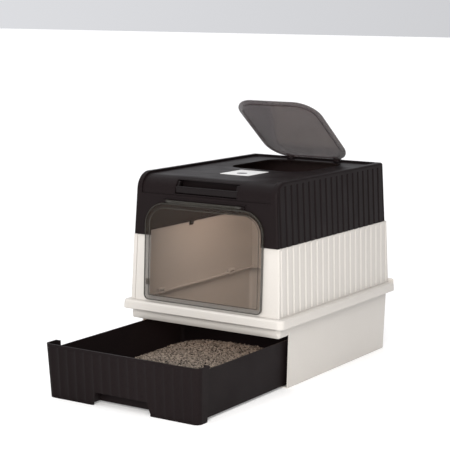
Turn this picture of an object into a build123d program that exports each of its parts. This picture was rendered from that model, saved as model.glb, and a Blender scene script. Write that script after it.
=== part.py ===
from build123d import *
import math
import os

# Drawer litter box, in millimetres. +Z is up and the front faces -Y. The origin is the centre of
# the base's underside. It is modelled as photographed: drawer pulled out, roof lid part open,
# door shut, carry handle down.

# ---- heights ----
FLOOR_T = 2.5
MOUTH_TOP_Z = 117.6          # lower edge of the front rail, over the drawer
RIM_LOW_Z = 140.8
RIM_TOP_Z = 161.2
PANEL_LOW_Z = 161.5
PANEL_TOP_Z = 311.3
COVER_LOW_Z = 311.6
COVER_TOP_Z = 451.8
ROOF_Z = 446.5               # flat roof inside the raised border
CEILING_Z = 443.5
CREASE_Z = 406.0             # lower end of the sunk middle of the cover's front

# ---- half sizes in plan, at each height: (half width, half depth) ----
BASE_LOW = (194.0, 250.5)
BASE_HIGH = (197.5, 255.0)   # at the top of the rim
RIM_LOW = (212.4, 269.6)
RIM_HIGH = (211.2, 268.4)
COVER_LOW = (189.7, 251.7)
COVER_HIGH = (182.2, 248.2)

# ---- middle walls, at their lower and upper edges ----
SIDE_X = (196.0, 191.8)      # outer faces of the side panels
FRONT_Y = (253.4, 247.7)     # outer face of the front panel, from the middle
BACK_Y = (259.0, 250.8)      # outer face of the back panel

# ---- walls and radii ----
WALL = 2.8
FOOT_R = 3.0
BASE_CORNER_R = 11.0
RIM_CORNER_R = 14.0
RIM_EDGE_R = 5.5
RIM_FOOT_R = 2.2
SKIRT_T = 2.5
LEDGE = (183.5, 242.0)       # inner half sizes of the ledge under the middle walls
LEDGE_T = 2.8
STOP_Y = 261.2               # raised stop behind the back panel
STOP_TOP_Z = 169.6
STOP_R = 3.2
CURL_TOP_Z = 130.6           # the front rail's lower part curls in below this height
CURL_IN = 4.6
RIBBED_T = 4.4               # thickness of a ribbed wall over its lands
PANEL_T = 3.2
PANEL_GAP = 0.4              # between a folding panel and the fixed side panels
POST = 10.0                  # corner posts of the side panels
PROUD = 1.2                  # how far the side panels' ends stand out past the folding panels
POST_FRONT_R = 2.2
POST_REAR_R = 3.0
COVER_FRONT_T = 5.6
COVER_CORNER_R = 10.0
SHOULDER_R = 37.0
EDGE_R = 5.0
SUNK = 3.0                   # how far the middle of the cover's front lies behind its sides
ROOF_BORDER = (13.0, 8.5)    # width of the raised border at the sides and at the rear
ROOF_CORNER_R = 18.0
STRIP_HALF_W = 108.0         # the thin strip over the door
STRIP_OUT = 2.6
STRIP_Z = (397.6, 400.0)
STRIP_R = 1.0

# ---- grooves ----
SIDE_GROOVES = 20
SIDE_PITCH = 25.7
COVER_PITCH = 25.2
BACK_GROOVES = 13
GROOVE = (9.5, 2.0)          # width and depth in the walls and the cover
PANEL_GROOVE_Z = (164.5, 308.3)
COVER_GROOVE_TOP_Z = 442.3
DRAWER_GROOVES = 16
DRAWER_PITCH = 22.6
DRAWER_GROOVE = (20.0, 1.7)
DRAWER_GROOVE_Z = (3.5, 111.5)

# ---- drawer ----
PULL = 307.9                 # how far the drawer is out as modelled
DRAWER_FRONT_LOW = (191.6, 243.6)    # half width and distance from the middle, shut
DRAWER_FRONT_HIGH = (196.7, 251.1)
DRAWER_TOP_Z = 117.0
DRAWER_FRONT_T = 4.6
RETURN_REAR_Y = 212.0        # rear face of the wide front section, shut
SIDE_WALL_FRONT_Y = 211.0    # front edges of the base's side walls
TRAY_LOW = 184.0
TRAY_HIGH = 186.4
TRAY_WALL_TOP_Z = 105.6
TRAY_LOW_Z = 5.7
TRAY_FRONT_Y = -221.0        # where the narrow part starts, inside the front section
TRAY_REAR_LOW_Y = 236.0
TRAY_REAR_HIGH_Y = 239.0
TRAY_T = 2.8
DRAWER_CORNER_R = 13.0
NOTCH_HALF_TOP = 66.0
NOTCH_HALF_LOW = 74.5
NOTCH_H = 28.5
NOTCH_DEPTH = 23.0
RAIL_X = 120.0
RAIL_W = 8.0
RAIL_Y = (-207.0, 242.0)
RAIL_TOP_Z = 5.3

# ---- door ----
DOOR_HALF_W = 155.5
DOOR_LOW_Z = 166.0
DOOR_TOP_Z = 388.0
DOOR_TOP_R = 52.0
DOOR_LOW_R = 13.0
DOOR_T = 2.4
DOOR_BACK_TOP_Y = -250.9
DOOR_BACK_LOW_Y = -258.6
DOOR_BEAD_W = 2.6
DOOR_BEAD_H = 1.4
DOOR_AXIS = (-253.9, 392.2)
DOOR_BARREL_R = 3.2
DOOR_EAR_R = 3.1
DOOR_EAR_W = 6.0
DOOR_BARREL_HALF = 98.0
DOOR_BORE = 13.0             # depth of the pin's hole in each end of the barrel
DOOR_WEB_Y = -251.0          # rear face of the web between the door and its barrel
DOOR_WEB_LOW_Z = 385.0
OPENING_HALF_W = 146.0
OPENING_LOW_Z = 173.7
OPENING_TOP_Z = 377.0
OPENING_TOP_R = 42.0
OPENING_LOW_R = 5.0

# ---- roof lid ----
LID_OPEN_DEG = 37.3
LID_AXIS = (231.0, 452.2)
LID_HALF_W = 112.0
LID_FRONT_Y = -22.0
LID_REAR_Y = 223.0
LID_LOW_Z = 447.0
LID_T = 2.4
LID_CORNER_R = 56.0
LID_EDGE_R = 1.0
LID_FLANGE = 11.2            # from the lid's edge to the skirt under it
LID_SKIRT_W = 1.8
LID_SKIRT_H = 3.0
LID_SKIRT_GAP = 1.4          # from the skirt to the edge of the roof opening
LID_ARM_X = 65.0
LID_ARM_W = 10.0
LID_ARM_IN = 8.0             # how far an arm runs in over the lid
LID_ARM_TOP_Z = 451.4
LID_EAR_W = 4.0
LID_EAR_R = 3.6

# ---- carry handle ----
HANDLE_AXIS = (-231.5, 433.5)
CUP_HALF_W = 83.5
CUP_LOW_Z = 407.4
CUP_TOP_Z = 442.4
CUP_REAR_Y = -213.0
CUP_T = 2.4
CUP_GAP = 0.3
NUB_HALF_W = 4.0             # the small nub in the middle of the cup's lower lip
NUB_OUT = 1.6
NUB_R = 0.8
GRIP_LOW_Z = 411.0
GRIP_TOP_Z = 426.4
GRIP_FRONT_Y = -243.6
GRIP_BACK_Y = -236.8
GRIP_R = 2.6
ARM_W = 6.0
ARM_H = 7.0
ARM_UP = 4.5                 # from the grip's lower face to the arms' ends
ARM_GAP = 0.5
ARM_BORE = 4.0               # depth of the pin's hole in each arm

# ---- hinges of the walls ----
HINGE_Z = 166.8
FRONT_HINGE_Y = 246.0
BACK_HINGE_Y = 250.2
FOLD_CLEAR_Z = 177.0         # a folding panel is cut back at its sides below this height
SIDE_HINGE_X = 187.4
KNUCKLE_R = 3.4
KNUCKLE_L = 14.0
LUG_L = 6.0
LUG_FOOT = 5.0               # how far a lug runs down below the rim's top
EAR_GAP = 0.4                # between a knuckle and the ear beside it
PIN_R = 1.5
RUN = 0.05                   # radial clearance of a pin that turns
FRONT_HINGE_AT = (-120.0, 120.0)
SIDE_HINGE_AT = (-150.0, 150.0)

# ---- litter, label, catch, clips ----
LITTER_CURVE = ((-182.0, 25.0), (-150.0, 33.0), (-115.0, 39.5), (-60.0, 43.0), (0.0, 44.0),
                (60.0, 43.0), (120.0, 40.0), (182.0, 33.0))
LABEL = (76.0, 90.0)
LABEL_AT = (2.0, -90.0)
LABEL_T = 0.6
LABEL_R = 3.0
LITTER_GAP = 0.3
CATCH = (9.0, 14.0)
CATCH_AT = (-151.0, 205.0)
CATCH_T = 1.8
CATCH_BEVEL = 1.0
CLIP_Y = -28.0
CLIP_W = 14.0
CLIP_T = 2.6
CLIP_GAP = 0.4
CLIP_REACH = 8.5             # below the cover's lower edge
CLIP_UP = 5.0
CLIP_TIP = 1.4

# ---- construction ----
FAR = 300.0                  # past every face of the box
FRONT_ONLY_Y = 200.0         # only the front walls lie further forward than this
OVER = 1.0                   # how far a cutter runs past what it cuts
SINK = 0.8                   # how far a joined piece runs into its neighbour
TINY = 0.01


# ---- helpers ----
def between(low, high, z, z0, z1):
    """A value that runs straight from low at z0 to high at z1."""
    return low + (high - low) * (z - z0) / (z1 - z0)


def prism(points, direction):
    """A closed outline of 3-D points pushed along direction."""
    return Part() + Solid.extrude(Face(Wire.make_polygon(points, close=True)), Vector(*direction))


def along_y(outline, y0, y1):
    """An outline of (x, z) points between two depths."""
    return prism([(x, y0, z) for x, z in outline], (0, y1 - y0, 0))


def along_x(outline, x0, x1):
    """An outline of (y, z) points between two widths."""
    return prism([(x0, y, z) for y, z in outline], (x1 - x0, 0, 0))


def block(x0, x1, y0, y1, z0, z1):
    return along_y([(x0, z0), (x1, z0), (x1, z1), (x0, z1)], y0, y1)


def upright(shape, box=None):
    """The edges that run mostly upwards, within a plan box if one is given."""
    chosen = [e for e in shape.edges() if abs(e.tangent_at(0.5).Z) > 0.9]
    if box:
        x0, x1, y0, y1 = box
        chosen = [e for e in chosen if x0 < e.center().X < x1 and y0 < e.center().Y < y1]
    return chosen


def tapered_box(low, high, z0, z1, radius=0.0):
    """A box whose half sizes run from low at z0 to high at z1, with round upright corners."""
    (x0, y0), (x1, y1) = low, high
    wide = max(y0, y1) + OVER
    long = max(x0, x1) + OVER
    shape = along_y([(-x0, z0), (x0, z0), (x1, z1), (-x1, z1)], -wide, wide)
    shape &= along_x([(-y0, z0), (y0, z0), (y1, z1), (-y1, z1)], -long, long)
    return fillet(upright(shape), radius) if radius else shape


def inset(half, by):
    return (half[0] - by, half[1] - by)


def at_z(low, high, z, z0, z1):
    """The half sizes at height z of a tapered box."""
    return tuple(between(a, b, z, z0, z1) for a, b in zip(low, high))


def rod(point, direction, radius, length):
    """A round bar that starts at point."""
    plane = Plane(origin=point, z_dir=direction)
    return plane * Cylinder(radius, length, align=(Align.CENTER, Align.CENTER, Align.MIN))


def rod_x(y, z, radius, x0, x1):
    return rod((x0, y, z), (1, 0, 0), radius, x1 - x0)


def groove_cutters(low, high, normal, step, count, pitch, groove=GROOVE):
    """Round bars that cut count grooves in the flat wall from low to high.

    low and high are the wall's middle at the grooves' two ends, normal points out of the wall and
    step is the way from one groove to the next.
    """
    width, depth = groove
    radius = (width * width / 4 + depth * depth) / (2 * depth)
    low, high = Vector(*low), Vector(*high)
    out, step = Vector(*normal).normalized(), Vector(*step)
    cutters = []
    for i in range(count):
        shift = step * (pitch * (i - (count - 1) / 2)) + out * (radius - depth)
        cutters.append(rod(low + shift, high - low, radius, (high - low).length))
    return cutters


def side_grooves(x_low, x_high, wall_z, groove_z, sign, pitch):
    """Cutters for a side wall that runs from x_low to x_high over the heights wall_z."""
    z0, z1 = groove_z
    x0, x1 = (between(x_low, x_high, z, *wall_z) for z in groove_z)
    normal = (sign * (z1 - z0), 0, x0 - x1)
    return groove_cutters((sign * x0, 0, z0), (sign * x1, 0, z1), normal, (0, 1, 0),
                          SIDE_GROOVES, pitch)


def back_grooves(y_low, y_high, wall_z, groove_z):
    """Cutters for a back wall that runs from y_low to y_high over the heights wall_z."""
    z0, z1 = groove_z
    y0, y1 = (between(y_low, y_high, z, *wall_z) for z in groove_z)
    return groove_cutters((0, y0, z0), (0, y1, z1), (0, z1 - z0, y0 - y1), (1, 0, 0),
                          BACK_GROOVES, SIDE_PITCH)


def rounded_outline(half_w, z0, z1, top_r, low_r):
    """An upright rounded outline in local X and Y, centred on X, from z0 to z1."""
    shape = Pos(0, (z0 + z1) / 2) * Rectangle(2 * half_w, z1 - z0)
    shape = fillet(shape.vertices().group_by(Axis.Y)[-1], top_r)
    return fillet(shape.vertices().group_by(Axis.Y)[0], low_r)


def door_opening():
    """The solid that fills the doorway, through the front walls and no further back."""
    outline = rounded_outline(OPENING_HALF_W, OPENING_LOW_Z, OPENING_TOP_Z, OPENING_TOP_R,
                              OPENING_LOW_R)
    face = Plane(origin=(0, -FRONT_ONLY_Y, 0), x_dir=(1, 0, 0), z_dir=(0, -1, 0)) * outline
    return extrude(face, FAR - FRONT_ONLY_Y)


# ---- base ----
def hinge_places():
    """Where each wall hinge is: (centre point, turn about Z) from a hinge on the front wall."""
    front = [(Vector(x, -FRONT_HINGE_Y, HINGE_Z), 0) for x in FRONT_HINGE_AT]
    back = [(Vector(x, BACK_HINGE_Y, HINGE_Z), 180) for x in FRONT_HINGE_AT]
    right = [(Vector(SIDE_HINGE_X, y, HINGE_Z), 90) for y in SIDE_HINGE_AT]
    left = [(Vector(-SIDE_HINGE_X, y, HINGE_Z), -90) for y in SIDE_HINGE_AT]
    return {"front": front, "back": back, "right": right, "left": left}


def place_hinge(shape, place):
    point, turn = place
    return Pos(point.X, point.Y, point.Z) * Rot(0, 0, turn) * shape


def base_lugs():
    """Two lugs of one hinge, about its own centre, with the pin's hole through them."""
    lugs = Part()
    for side in (-1, 1):
        inner = side * (KNUCKLE_L / 2 + EAR_GAP)
        outer = inner + side * LUG_L
        x0, x1 = min(inner, outer), max(inner, outer)
        lugs += rod_x(0, 0, KNUCKLE_R, x0, x1)
        lugs += block(x0, x1, -KNUCKLE_R, KNUCKLE_R, RIM_TOP_Z - LUG_FOOT - HINGE_Z, 0)
    reach = KNUCKLE_L / 2 + EAR_GAP + LUG_L + OVER
    return lugs - rod_x(0, 0, PIN_R, -reach, reach)


def panel_knuckle(reach):
    """The knuckle of one hinge, with a foot that goes out by reach to its panel."""
    shape = rod_x(0, 0, KNUCKLE_R, -KNUCKLE_L / 2, KNUCKLE_L / 2)
    shape += block(-KNUCKLE_L / 2, KNUCKLE_L / 2, -reach, 0, -KNUCKLE_R, KNUCKLE_R)
    return shape - rod_x(0, 0, PIN_R + RUN, -KNUCKLE_L, KNUCKLE_L)


def hinge_pins(name):
    length = KNUCKLE_L + 2 * (EAR_GAP + LUG_L)
    pin = rod_x(0, 0, PIN_R, -length / 2, length / 2)
    return Part() + [place_hinge(pin, place) for place in hinge_places()[name]]


def rim():
    """The hollow ledge round the base, with the raised stop behind the back panel."""
    shape = tapered_box(RIM_LOW, RIM_HIGH, RIM_LOW_Z, RIM_TOP_Z, RIM_CORNER_R)
    shape = fillet([e for e in shape.edges() if e.center().Z > RIM_TOP_Z - TINY], RIM_EDGE_R)
    shape = fillet([e for e in shape.edges() if e.center().Z < RIM_LOW_Z + TINY], RIM_FOOT_R)
    under_low, under_high = inset(RIM_LOW, SKIRT_T), inset(RIM_HIGH, SKIRT_T)
    shape -= tapered_box(under_low, under_high, RIM_LOW_Z - OVER, RIM_TOP_Z - WALL,
                         RIM_CORNER_R - SKIRT_T)
    stop = tapered_box(RIM_HIGH, RIM_HIGH, RIM_TOP_Z - WALL, STOP_TOP_Z, RIM_CORNER_R)
    stop &= block(-FAR, FAR, STOP_Y, FAR, 0, STOP_TOP_Z)
    return shape + fillet([e for e in stop.edges() if e.center().Z > STOP_TOP_Z - TINY], STOP_R)


def curl_cutters():
    """What is cut off the outside of the front rail, so that its foot curls inwards."""
    half = at_z(BASE_LOW, BASE_HIGH, CURL_TOP_Z, 0, RIM_TOP_Z)
    height = CURL_TOP_Z - MOUTH_TOP_Z
    radius = (height * height + CURL_IN * CURL_IN) / (2 * CURL_IN)
    cutters = []
    for wide, turn in ((half[1], -90), (half[0], 0), (half[0], 180)):
        centre = Pos(wide - radius, CURL_TOP_Z)
        profile = Pos(wide, CURL_TOP_Z - height / 2) * Rectangle(4 * CURL_IN, height)
        profile -= centre * Circle(radius)
        cutter = extrude(Plane.XZ.offset(-FAR) * profile, 2 * FAR)
        cutters.append(Rot(0, 0, turn) * cutter)
    room = block(-FAR, FAR, -FAR, -SIDE_WALL_FRONT_Y, 0, CURL_TOP_Z)
    return [cutter & room for cutter in cutters]


def base_housing():
    body = tapered_box(BASE_LOW, BASE_HIGH, 0, RIM_TOP_Z, BASE_CORNER_R)
    body = fillet([e for e in body.edges() if e.center().Z < TINY], FOOT_R)
    body += rim()

    inner_low = at_z(inset(BASE_LOW, WALL), inset(BASE_HIGH, WALL), FLOOR_T, 0, RIM_TOP_Z)
    inner_top = at_z(inset(BASE_LOW, WALL), inset(BASE_HIGH, WALL), RIM_TOP_Z + OVER, 0, RIM_TOP_Z)
    body -= tapered_box(inner_low, inner_top, FLOOR_T, RIM_TOP_Z + OVER, BASE_CORNER_R - WALL)
    body -= block(-FAR, FAR, -FAR, -SIDE_WALL_FRONT_Y, -OVER, MOUTH_TOP_Z)

    ledge = tapered_box(RIM_HIGH, RIM_HIGH, RIM_TOP_Z - LEDGE_T, RIM_TOP_Z)
    ledge &= tapered_box(BASE_HIGH, BASE_HIGH, 0, RIM_TOP_Z)
    body += ledge - tapered_box(LEDGE, LEDGE, 0, RIM_TOP_Z + OVER)

    curl_half = at_z(BASE_LOW, BASE_HIGH, MOUTH_TOP_Z, 0, RIM_TOP_Z)
    curl = tapered_box(curl_half, inset(curl_half, -OVER), MOUTH_TOP_Z, CURL_TOP_Z, BASE_CORNER_R)
    behind = inset(curl_half, CURL_IN + WALL)
    curl -= tapered_box(behind, inset(behind, -CURL_IN), MOUTH_TOP_Z, CURL_TOP_Z)
    body += curl & block(-FAR, FAR, -FAR, -SIDE_WALL_FRONT_Y, 0, CURL_TOP_Z)
    body -= curl_cutters()

    for x in (-RAIL_X, RAIL_X):
        body += block(x - RAIL_W / 2, x + RAIL_W / 2, RAIL_Y[0], RAIL_Y[1],
                      FLOOR_T - SINK, RAIL_TOP_Z)
    for places in hinge_places().values():
        for place in places:
            body += place_hinge(base_lugs(), place)
    return body


# ---- walls ----
def panel_at(low_high, z):
    """A wall's distance from the middle at height z."""
    return between(*low_high, z, PANEL_LOW_Z, PANEL_TOP_Z)


def mid_block():
    """The whole of the middle ring, filled in, with the side panels' ends standing proud."""
    (x0, x1), low_z, top_z = SIDE_X, PANEL_LOW_Z, PANEL_TOP_Z
    front, back = ([y + PROUD for y in wall] for wall in (FRONT_Y, BACK_Y))
    shape = along_y([(-x0, low_z), (x0, low_z), (x1, top_z), (-x1, top_z)], -FAR, FAR)
    shape &= along_x([(-front[0], low_z), (back[0], low_z), (back[1], top_z),
                      (-front[1], top_z)], -FAR, FAR)
    shape = fillet(upright(shape, (-FAR, FAR, 0, FAR)), POST_REAR_R)
    return fillet(upright(shape, (-FAR, FAR, -FAR, 0)), POST_FRONT_R)


def side_strip(sign, thick):
    """A slab along a side panel's outer face, as thick as asked and longer than the panel."""
    x0, x1 = SIDE_X
    return along_y([(sign * (x0 - thick), PANEL_LOW_Z), (sign * (x0 + POST), PANEL_LOW_Z),
                    (sign * (x1 + POST), PANEL_TOP_Z), (sign * (x1 - thick), PANEL_TOP_Z)],
                   -FAR, FAR)


def side_panel(sign):
    posts = Part()
    for way, wall in ((-1, FRONT_Y), (1, BACK_Y)):
        y0, y1 = (way * (y + PROUD - POST / 2) for y in wall)
        posts += along_x([(y0, PANEL_LOW_Z), (way * FAR, PANEL_LOW_Z),
                          (way * FAR, PANEL_TOP_Z), (y1, PANEL_TOP_Z)], -FAR, FAR)
    body = mid_block() & (side_strip(sign, RIBBED_T) + (side_strip(sign, POST) & posts))
    body -= side_grooves(*SIDE_X, (PANEL_LOW_Z, PANEL_TOP_Z), PANEL_GROOVE_Z, sign, SIDE_PITCH)
    reach = panel_at(SIDE_X, HINGE_Z) - RIBBED_T - SIDE_HINGE_X + SINK
    for place in hinge_places()["right" if sign > 0 else "left"]:
        body += place_hinge(panel_knuckle(reach), place)
    return body


def folding_panel(sign, wall, thick, hinge_y):
    """The front (sign -1) or back (sign 1) panel, without its doorway or grooves."""
    y0, y1 = wall
    low_z = PANEL_LOW_Z
    slab = along_x([(sign * y0, low_z), (sign * y1, PANEL_TOP_Z),
                    (sign * (y1 - thick), PANEL_TOP_Z), (sign * (y0 - thick), low_z)], -FAR, FAR)
    x0, x1 = (panel_at(SIDE_X, z) - POST - PANEL_GAP for z in (FOLD_CLEAR_Z, PANEL_TOP_Z))
    slab &= along_y([(-x0, low_z), (x0, low_z), (x0, FOLD_CLEAR_Z), (x1, PANEL_TOP_Z),
                     (-x1, PANEL_TOP_Z), (-x0, FOLD_CLEAR_Z)], -FAR, FAR)
    reach = panel_at(wall, HINGE_Z) - thick - hinge_y + SINK
    for place in hinge_places()["back" if sign > 0 else "front"]:
        slab += place_hinge(panel_knuckle(reach), place)
    return slab


def front_panel():
    return folding_panel(-1, FRONT_Y, PANEL_T, FRONT_HINGE_Y) - door_opening()


def back_panel():
    cutters = back_grooves(*BACK_Y, (PANEL_LOW_Z, PANEL_TOP_Z), PANEL_GROOVE_Z)
    return folding_panel(1, BACK_Y, RIBBED_T, BACK_HINGE_Y) - cutters


# ---- cover ----
def cover_profile(front_in, top_z, shoulder_r, low_z=COVER_LOW_Z):
    """A block with the cover's front, shoulder and back, front_in behind the outer front."""
    y0 = between(COVER_LOW[1], COVER_HIGH[1], low_z, COVER_LOW_Z, COVER_TOP_Z)
    y1 = between(COVER_LOW[1], COVER_HIGH[1], top_z, COVER_LOW_Z, COVER_TOP_Z)
    shape = along_x([(-y0 + front_in, low_z), (-y1 + front_in, top_z), (y1, top_z), (y0, low_z)],
                    -FAR, FAR)
    edge = shape.edges().filter_by(Axis.X).group_by(Axis.Z)[-1].sort_by(Axis.Y)[0]
    return fillet(edge, shoulder_r)


def cover_outer():
    x0, x1 = COVER_LOW[0], COVER_HIGH[0]
    shape = cover_profile(0, COVER_TOP_Z, SHOULDER_R)
    shape &= along_y([(-x0, COVER_LOW_Z), (x0, COVER_LOW_Z), (x1, COVER_TOP_Z),
                      (-x1, COVER_TOP_Z)], -FAR, FAR)
    shape = fillet(upright(shape, (-FAR, FAR, 0, FAR)), COVER_CORNER_R)
    bottom = [e for e in shape.edges() if e.center().Z < COVER_LOW_Z + TINY]
    across = [e for e in shape.edges() if abs(e.tangent_at(0.5).X) > 1 - TINY and e.center().Y < 0]
    backs = upright(shape, (-FAR, FAR, 0, FAR))
    skip = bottom + across + backs
    chain = [e for e in shape.edges() if not any(e.is_same(s) for s in skip)]
    return fillet(chain, EDGE_R)


def cover_hollow():
    x0, x1 = COVER_LOW[0] - RIBBED_T, COVER_HIGH[0] - RIBBED_T
    x1 = between(x0, x1, CEILING_Z, COVER_LOW_Z, COVER_TOP_Z)
    shape = cover_profile(COVER_FRONT_T, CEILING_Z, SHOULDER_R - COVER_FRONT_T, COVER_LOW_Z)
    shape &= along_x([(-FAR, 0), (COVER_LOW[1] - RIBBED_T, COVER_LOW_Z),
                      (COVER_HIGH[1] - RIBBED_T, COVER_TOP_Z), (-FAR, COVER_TOP_Z)], -FAR, FAR)
    shape &= along_y([(-x0, COVER_LOW_Z), (x0, COVER_LOW_Z), (x1, CEILING_Z), (-x1, CEILING_Z)],
                     -FAR, FAR)
    return shape


def sunk_body():
    """The surface of the sunk roof and front, as a block under it."""
    return cover_profile(SUNK, ROOF_Z, SHOULDER_R - SUNK)


def roof_cut():
    """What is taken off the cover's roof and front inside their raised border."""
    half, rear = (size - edge for size, edge in zip(COVER_HIGH, ROOF_BORDER))
    cut = block(-half, half, -FAR, rear, CREASE_Z, COVER_TOP_Z + OVER)
    cut = fillet(upright(cut, (-FAR, FAR, 0, FAR)), ROOF_CORNER_R)
    return cut - sunk_body()


def cup_block(gap, front_y):
    return block(-CUP_HALF_W - gap, CUP_HALF_W + gap, front_y, CUP_REAR_Y + gap,
                 CUP_LOW_Z - gap, CUP_TOP_Z + gap)


def roof_opening():
    edge = LID_FLANGE - LID_SKIRT_GAP
    y0, y1 = LID_FRONT_Y + edge, LID_REAR_Y - edge
    shape = Pos(0, (y0 + y1) / 2) * RectangleRounded(2 * (LID_HALF_W - edge), y1 - y0,
                                                     LID_CORNER_R - edge)
    return extrude(Plane.XY.offset(CEILING_Z - OVER) * shape, ROOF_Z - CEILING_Z + 2 * OVER)


def lid_ears():
    """Four ears on the roof, a pair for each arm of the lid."""
    y, z = LID_AXIS
    ears = Part()
    for x in (-LID_ARM_X, LID_ARM_X):
        for side in (-1, 1):
            inner = x + side * (LID_ARM_W / 2 + EAR_GAP)
            outer = inner + side * LID_EAR_W
            x0, x1 = min(inner, outer), max(inner, outer)
            ears += rod_x(y, z, LID_EAR_R, x0, x1)
            ears += block(x0, x1, y - LID_EAR_R, y + LID_EAR_R, ROOF_Z - SINK, z)
        reach = LID_ARM_W / 2 + EAR_GAP + LID_EAR_W + OVER
        ears -= rod_x(y, z, PIN_R, x - reach, x + reach)
    return ears


def door_ears():
    """Two ears on the cover's front that hold the door's pins, and the strip over them."""
    y, z = DOOR_AXIS
    face = -between(COVER_LOW[1], COVER_HIGH[1], z, COVER_LOW_Z, COVER_TOP_Z)
    ears = Part()
    for side in (-1, 1):
        inner = side * (DOOR_BARREL_HALF + EAR_GAP)
        outer = inner + side * DOOR_EAR_W
        x0, x1 = min(inner, outer), max(inner, outer)
        ears += rod_x(y, z, DOOR_EAR_R, x0, x1)
        ears += block(x0, x1, y, face + SINK, z - DOOR_EAR_R, z + DOOR_EAR_R)
        ears -= rod_x(y, z, PIN_R, x0 - OVER, x1 + OVER)
    strip = block(-STRIP_HALF_W, STRIP_HALF_W, face - STRIP_OUT, face + SINK, *STRIP_Z)
    return ears + fillet(strip.edges().filter_by(Axis.X).group_by(Axis.Y)[0], STRIP_R)


def top_cover():
    body = cover_outer() - roof_cut() - cover_hollow()
    wall_z, groove_z = (COVER_LOW_Z, COVER_TOP_Z), (COVER_LOW_Z - OVER, COVER_GROOVE_TOP_Z)
    (x0, y0), (x1, y1) = COVER_LOW, COVER_HIGH
    for sign in (-1, 1):
        body -= side_grooves(x0, x1, wall_z, groove_z, sign, COVER_PITCH)
    body -= back_grooves(y0, y1, wall_z, groove_z)
    body -= roof_opening()
    body -= cup_block(CUP_GAP, -FAR)
    body += door_ears()
    body -= door_opening()
    return body + lid_ears()


def handle_cup():
    body = cup_block(0, -FAR) & sunk_body()
    body -= block(-CUP_HALF_W + CUP_T, CUP_HALF_W - CUP_T, -FAR, CUP_REAR_Y - CUP_T,
                  CUP_LOW_Z + CUP_T, CUP_TOP_Z - CUP_T)
    front = -between(COVER_LOW[1], COVER_HIGH[1], CUP_LOW_Z, COVER_LOW_Z, COVER_TOP_Z) + SUNK
    nub = block(-NUB_HALF_W, NUB_HALF_W, front - NUB_OUT, front + CUP_T, CUP_LOW_Z,
                CUP_LOW_Z + CUP_T)
    body += fillet(nub.edges().filter_by(Axis.X).group_by(Axis.Y)[0], NUB_R)
    y, z = HANDLE_AXIS
    for side in (-1, 1):
        x0, x1 = sorted((side * (CUP_HALF_W - CUP_T - OVER), side * (CUP_HALF_W + OVER)))
        body -= rod_x(y, z, PIN_R, x0, x1)
    return body


def carry_handle():
    y, z = HANDLE_AXIS
    outer = CUP_HALF_W - CUP_T - ARM_GAP
    grip_y, grip_z = (GRIP_FRONT_Y + GRIP_BACK_Y) / 2, GRIP_LOW_Z + ARM_UP
    run = math.hypot(grip_y - y, grip_z - z)
    tilt = math.degrees(math.atan2(grip_z - z, grip_y - y))
    slot = Rot(0, 0, tilt) * SlotCenterToCenter(run, ARM_H)
    arm = Pos((y + grip_y) / 2, (z + grip_z) / 2) * slot
    body = Part()
    for side in (-1, 1):
        x0 = min(side * outer, side * (outer - ARM_W))
        body += extrude(Plane.YZ.offset(x0) * arm, ARM_W)
    grip = Pos(grip_y, (GRIP_LOW_Z + GRIP_TOP_Z) / 2) * RectangleRounded(
        GRIP_BACK_Y - GRIP_FRONT_Y, GRIP_TOP_Z - GRIP_LOW_Z, GRIP_R)
    body += extrude(Plane.YZ.offset(-outer) * grip, 2 * outer)
    for side in (-1, 1):
        x0, x1 = sorted((side * (outer - ARM_BORE), side * (outer + OVER)))
        body -= rod_x(y, z, PIN_R + RUN, x0, x1)
    return body


def handle_pins():
    y, z = HANDLE_AXIS
    inner = CUP_HALF_W - CUP_T - ARM_GAP - ARM_BORE + EAR_GAP
    pins = [rod_x(y, z, PIN_R, *sorted((side * inner, side * CUP_HALF_W))) for side in (-1, 1)]
    return Part() + pins


# ---- door ----
def door_plane():
    """Local X across, local Y up the door's back face, local Z out of the box."""
    up = Vector(0, DOOR_BACK_TOP_Y - DOOR_BACK_LOW_Y, DOOR_TOP_Z - DOOR_LOW_Z).normalized()
    return Plane(origin=(0, DOOR_BACK_LOW_Y, DOOR_LOW_Z), x_dir=(1, 0, 0),
                 z_dir=Vector(1, 0, 0).cross(up))


def door_flap():
    plane = door_plane()
    height = math.hypot(DOOR_TOP_Z - DOOR_LOW_Z, DOOR_BACK_TOP_Y - DOOR_BACK_LOW_Y)
    outline = rounded_outline(DOOR_HALF_W, 0, height, DOOR_TOP_R, DOOR_LOW_R)
    inside = rounded_outline(DOOR_HALF_W - DOOR_BEAD_W, DOOR_BEAD_W, height - DOOR_BEAD_W,
                             DOOR_TOP_R - DOOR_BEAD_W, DOOR_LOW_R - DOOR_BEAD_W)
    body = extrude(plane * outline, DOOR_T)
    body += extrude(plane * (outline - inside), DOOR_T + DOOR_BEAD_H)

    y, z = DOOR_AXIS
    barrel = DOOR_BARREL_HALF
    body += rod_x(y, z, DOOR_BARREL_R, -barrel, barrel)
    body += block(-barrel, barrel, y, DOOR_WEB_Y, DOOR_WEB_LOW_Z, z)
    for side in (-1, 1):
        x0, x1 = sorted((side * (barrel - DOOR_BORE), side * (barrel + OVER)))
        body -= rod_x(y, z, PIN_R + RUN, x0, x1)
    return body


def door_pins():
    y, z = DOOR_AXIS
    inner = DOOR_BARREL_HALF - DOOR_BORE + EAR_GAP
    outer = DOOR_BARREL_HALF + EAR_GAP + DOOR_EAR_W
    pins = [rod_x(y, z, PIN_R, *sorted((side * inner, side * outer))) for side in (-1, 1)]
    return Part() + pins


def door_catch():
    x, z = CATCH_AT
    w, h = CATCH
    z0, z1 = z - h / 2, z + h / 2
    y0, y1 = -panel_at(FRONT_Y, z0), -panel_at(FRONT_Y, z1)
    return along_x([(y0, z0), (y1, z1), (y1 - CATCH_T, z1 - CATCH_BEVEL),
                    (y0 - CATCH_T, z0 + CATCH_BEVEL)],
                   x - w / 2, x + w / 2)


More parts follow.
